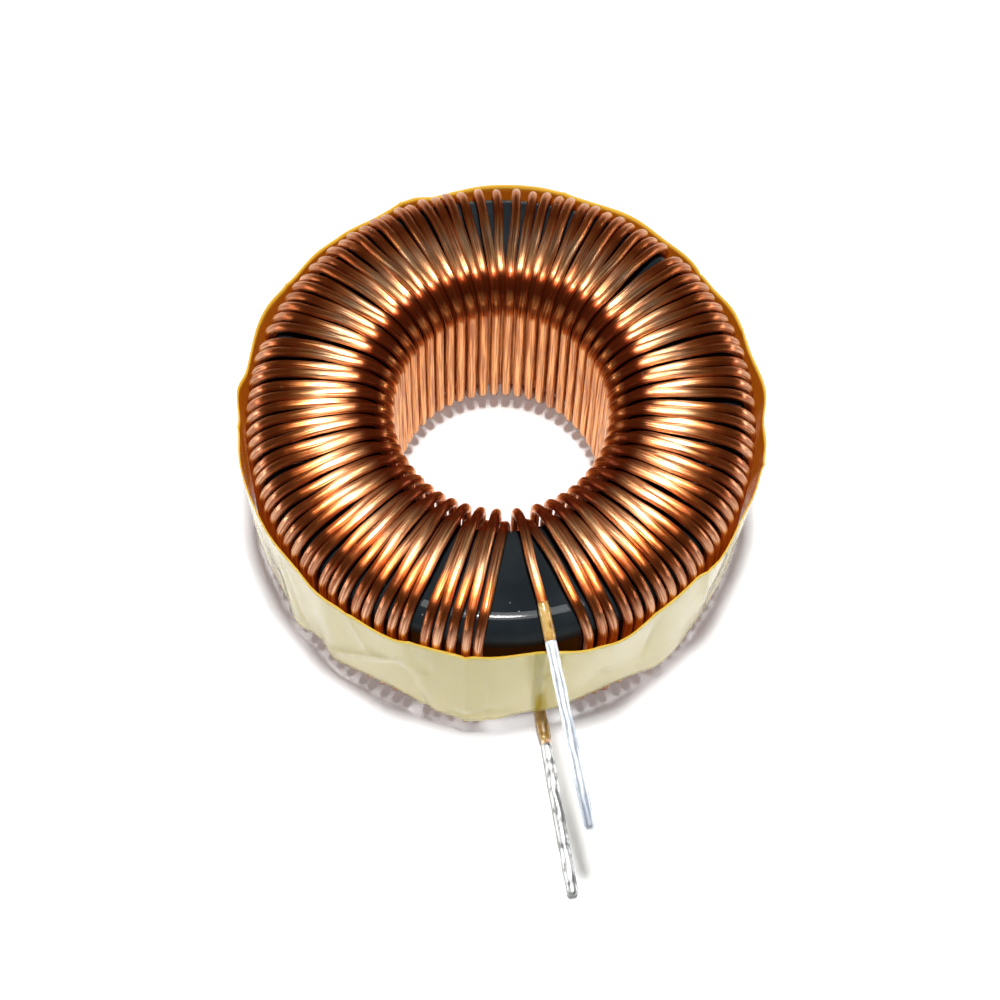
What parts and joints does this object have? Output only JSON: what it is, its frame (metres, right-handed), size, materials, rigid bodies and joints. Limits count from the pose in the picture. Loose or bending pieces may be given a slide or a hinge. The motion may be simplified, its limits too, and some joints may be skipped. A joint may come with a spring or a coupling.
{
  "type": "toroidal inductor",
  "caption": "Toroidal inductor: enamelled copper wire wound round a black coated ring core, bound in yellow film, with two tinned lead ends.",
  "frame": {"origin": "on the ring's axis, in the plane that the turns rest on", "axes": "+Z along the ring's axis, upwards; the leads and the gap in the winding face -Y"},
  "size_m": [0.03, 0.0398, 0.014],
  "materials": {
    "core_coat": "gloss",
    "copper_wire": "gloss",
    "film": "satin",
    "tin": "satin",
    "flux": "satin"
  },
  "bodies": {
    "root": {"core": "core_coat", "winding": "copper_wire", "film_band": "film", "tin_top": "tin", "tin_bottom": "tin", "flux_top": "flux", "flux_bottom": "flux"}
  },
  "joints": []
}
